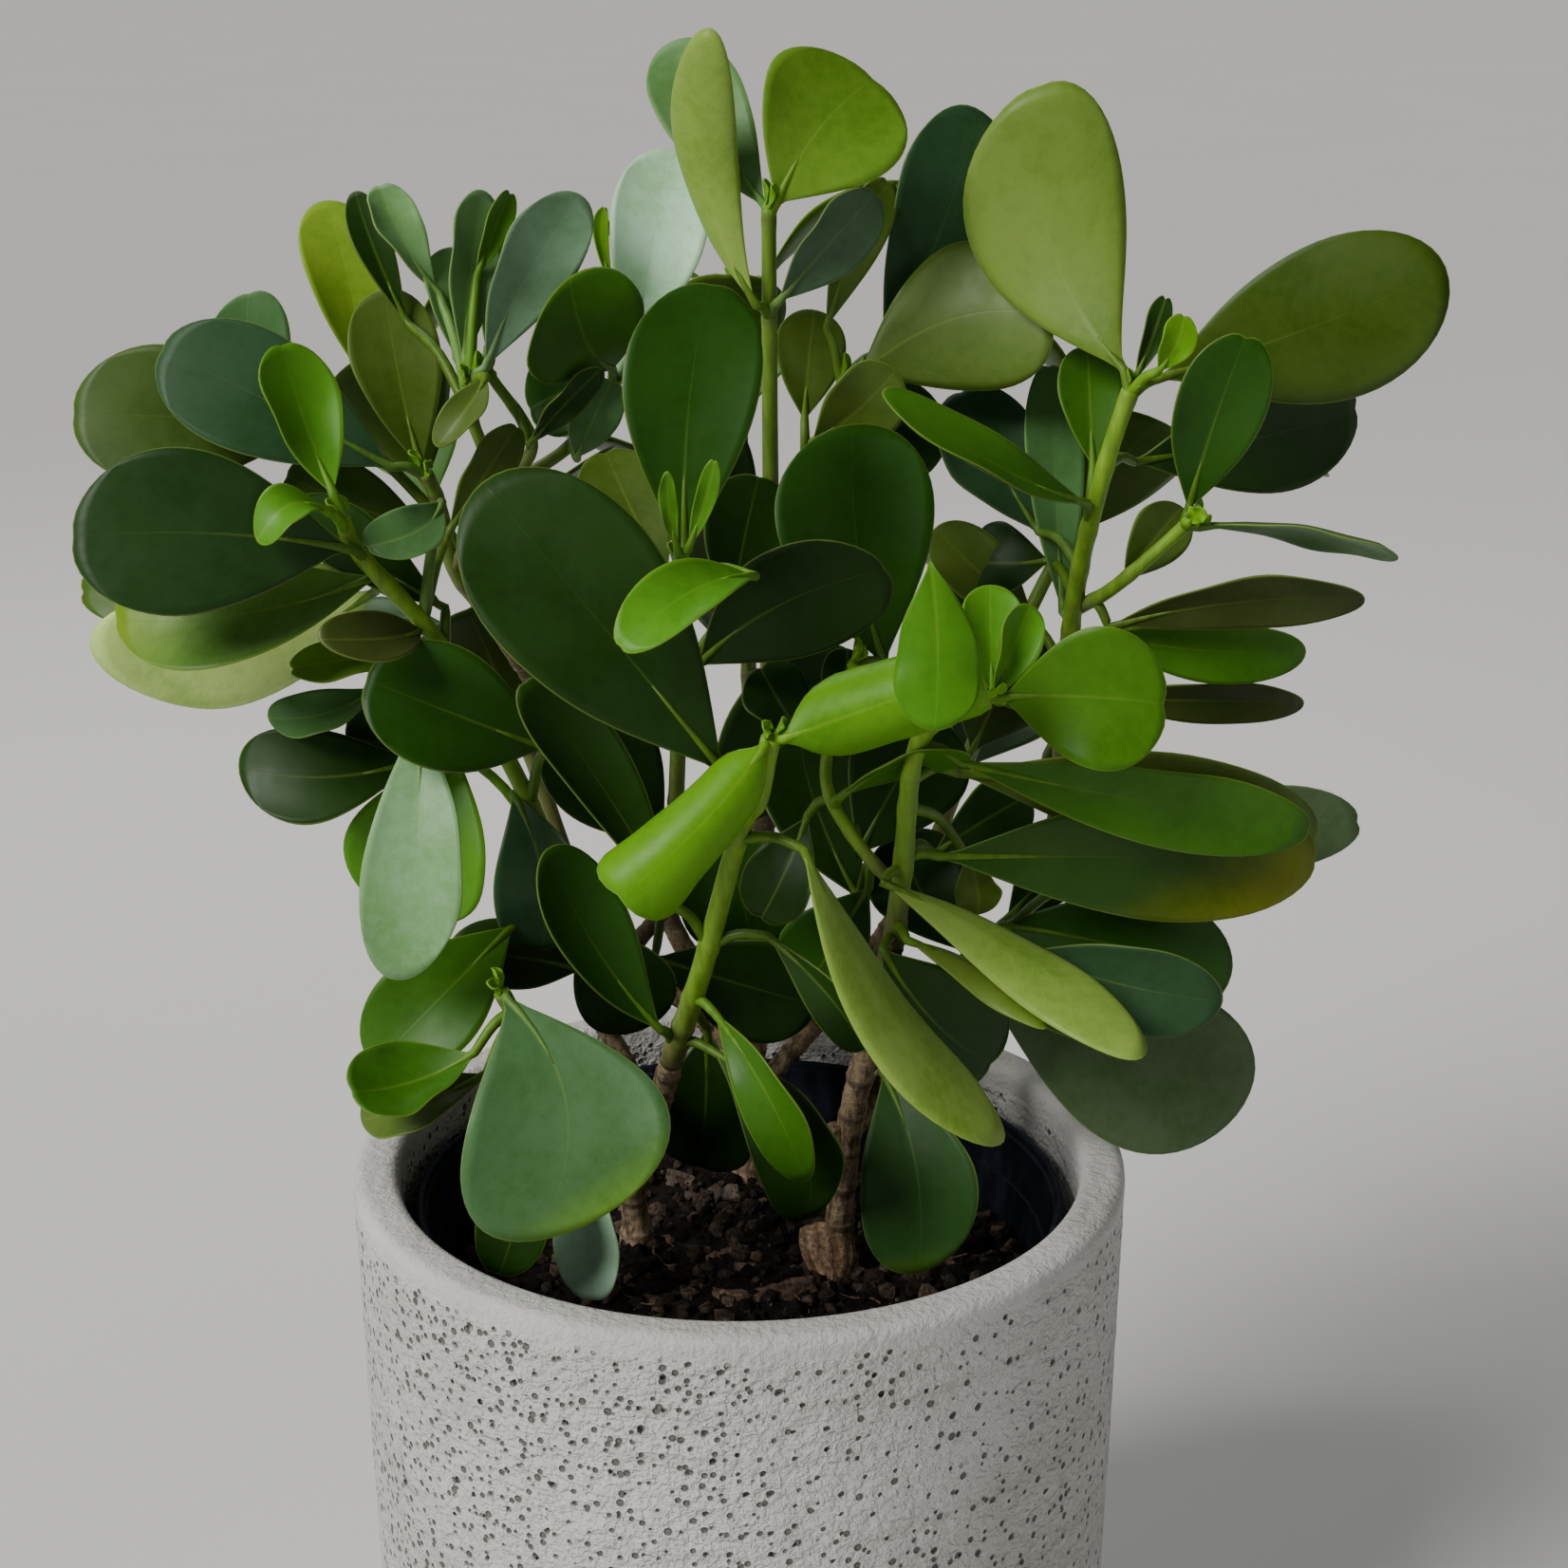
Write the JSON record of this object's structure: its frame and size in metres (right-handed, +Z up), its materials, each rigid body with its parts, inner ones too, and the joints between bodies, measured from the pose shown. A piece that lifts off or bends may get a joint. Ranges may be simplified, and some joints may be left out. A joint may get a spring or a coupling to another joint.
{
  "type": "potted clusia",
  "caption": "Bushy potted clusia with thick paddle-shaped leaves on branching stems, in a plastic nursery pot set inside a pitted concrete cover pot.",
  "frame": {"origin": "middle of the cover pot's underside, on the surface it stands on", "axes": "+Z up, +X to the right seen from the front, -Y towards the viewer"},
  "size_m": [0.3426, 0.2882, 0.4663],
  "materials": {
    "concrete": "light warm grey concrete, smooth rim, wall full of small dark pits",
    "pot_plastic": "dark blue-black nursery pot plastic, semi-matt",
    "soil": "dark peaty potting soil with bark chips",
    "bark": "grey-brown bark with leaf scars",
    "leaf": "thick leathery green leaves with a waxy semi-gloss and pale edges"
  },
  "bodies": {
    "root": {"cover_pot": "concrete", "nursery_pot": "pot_plastic", "soil": "soil", "woody_stem_left": "bark", "woody_stem_right": "bark", "woody_stem_back": "bark", "leafy_shoot_front": "leaf", "leafy_shoot_middle": "leaf", "leafy_shoot_left": "leaf", "leafy_shoot_upper_left": "leaf", "leafy_shoot_top": "leaf", "leafy_shoot_right": "leaf", "leafy_shoot_upper_right": "leaf", "leafy_shoot_low_left": "leaf", "leafy_shoot_low_right": "leaf", "leafy_shoot_back_left": "leaf", "leafy_shoot_back_middle": "leaf", "leafy_shoot_back_right": "leaf"}
  },
  "joints": []
}
